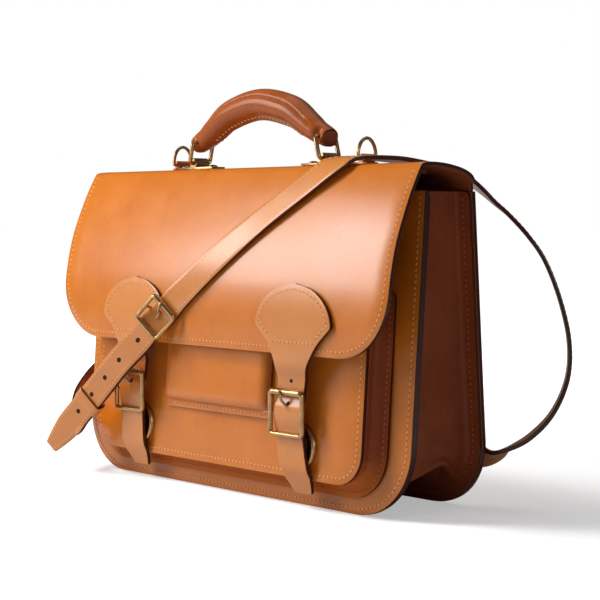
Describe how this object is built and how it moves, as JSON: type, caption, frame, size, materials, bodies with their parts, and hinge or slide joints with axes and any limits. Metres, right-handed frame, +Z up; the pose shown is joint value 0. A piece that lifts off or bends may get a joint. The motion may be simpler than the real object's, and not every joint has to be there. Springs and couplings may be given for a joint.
{
  "type": "leather briefcase",
  "caption": "Wedge-sided tan leather satchel briefcase with a front flap, buckled straps, front pocket, rolled top handle and a wrapped shoulder strap.",
  "frame": {"origin": "middle of the front panel's bottom edge, on the floor", "axes": "+X to the bag's right as seen from the front, +Y towards the back, +Z up"},
  "size_m": [0.4557, 0.1685, 0.3117],
  "materials": {
    "tan_leather": "burnished",
    "gusset_leather": "satin",
    "antique_brass": "antique"
  },
  "bodies": {
    "case": {"back_panel": "tan_leather", "front_panel": "tan_leather", "main_gusset": "gusset_leather", "pocket_panel": "tan_leather", "pocket_gusset": "gusset_leather", "slip_pocket": "tan_leather", "catch_left": "antique_brass", "catch_right": "antique_brass", "flap_bend": "tan_leather", "shoulder_strap_back": "tan_leather", "shoulder_strap_loop": "tan_leather", "shoulder_strap_return": "tan_leather"},
    "flap_body": {"flap": "tan_leather", "top_stiffener": "gusset_leather", "handle_plate_left": "antique_brass", "handle_plate_right": "antique_brass", "handle_rivet_left_1": "antique_brass", "handle_rivet_left_2": "antique_brass", "handle_rivet_right_1": "antique_brass", "handle_rivet_right_2": "antique_brass", "d_ring_tab_left": "tan_leather", "d_ring_tab_right": "tan_leather", "flap_strap_left": "tan_leather", "flap_strap_right": "tan_leather", "buckle_left": "antique_brass", "buckle_right": "antique_brass", "clasp_left": "antique_brass", "clasp_right": "antique_brass", "shoulder_strap_front": "tan_leather", "shoulder_buckle": "antique_brass", "shoulder_keeper": "tan_leather"},
    "ring_left_body": {"handle_ring_left": "antique_brass"},
    "ring_right_body": {"handle_ring_right": "antique_brass"},
    "handle_body": {"handle": "tan_leather"},
    "d_ring_left_body": {"d_ring_left": "antique_brass"},
    "d_ring_right_body": {"d_ring_right": "antique_brass"},
    "prong_left_body": {"prong_left": "antique_brass"},
    "prong_right_body": {"prong_right": "antique_brass"},
    "shoulder_prong_body": {"shoulder_prong": "antique_brass"}
  },
  "joints": [
    {"name": "flap_hinge", "type": "hinge", "parent": "case", "child": "flap_body", "pos_m": [0, 0.068, 0.238], "axis": [-1, 0, 0], "range_deg": [0, 165], "deforming": ["flap_bend", "shoulder_strap_loop", "shoulder_strap_return"]},
    {"name": "handle_sway", "type": "hinge", "parent": "flap_body", "child": "ring_left_body", "pos_m": [-0.077, 0.031, 0.2576], "axis": [0, 1, 0], "range_deg": [-12, 12]},
    {"name": "handle_pivot", "type": "hinge", "parent": "ring_left_body", "child": "handle_body", "pos_m": [-0.07242, 0.031, 0.2747], "axis": [0, 1, 0], "range_deg": [-12.75, 12.75]},
    {"name": "ring_right_pivot", "type": "hinge", "parent": "flap_body", "child": "ring_right_body", "pos_m": [0.077, 0.031, 0.2576], "axis": [0, 1, 0], "range_deg": [-12, 12]},
    {"name": "d_ring_left_pivot", "type": "hinge", "parent": "flap_body", "child": "d_ring_left_body", "pos_m": [-0.109, 0.039, 0.2571], "axis": [0, 1, 0], "range_deg": [-60, 60]},
    {"name": "d_ring_right_pivot", "type": "hinge", "parent": "flap_body", "child": "d_ring_right_body", "pos_m": [0.109, 0.039, 0.2571], "axis": [0, 1, 0], "range_deg": [-60, 25]},
    {"name": "prong_left_pivot", "type": "hinge", "parent": "flap_body", "child": "prong_left_body", "pos_m": [-0.096, -0.026, 0.0685], "axis": [1, 0, 0], "range_deg": [0, 15]},
    {"name": "prong_right_pivot", "type": "hinge", "parent": "flap_body", "child": "prong_right_body", "pos_m": [0.096, -0.026, 0.0685], "axis": [1, 0, 0], "range_deg": [0, 15]},
    {"name": "shoulder_prong_pivot", "type": "hinge", "parent": "flap_body", "child": "shoulder_prong_body", "pos_m": [-0.059, -0.03502, 0.1329], "axis": [0.5996, -0.0224, -0.8], "range_deg": [0, 12]}
  ],
  "couplings": [
    {"joint": "handle_pivot", "follows": "handle_sway", "ratio": -1.0628},
    {"joint": "ring_right_pivot", "follows": "handle_sway", "ratio": 1}
  ]
}
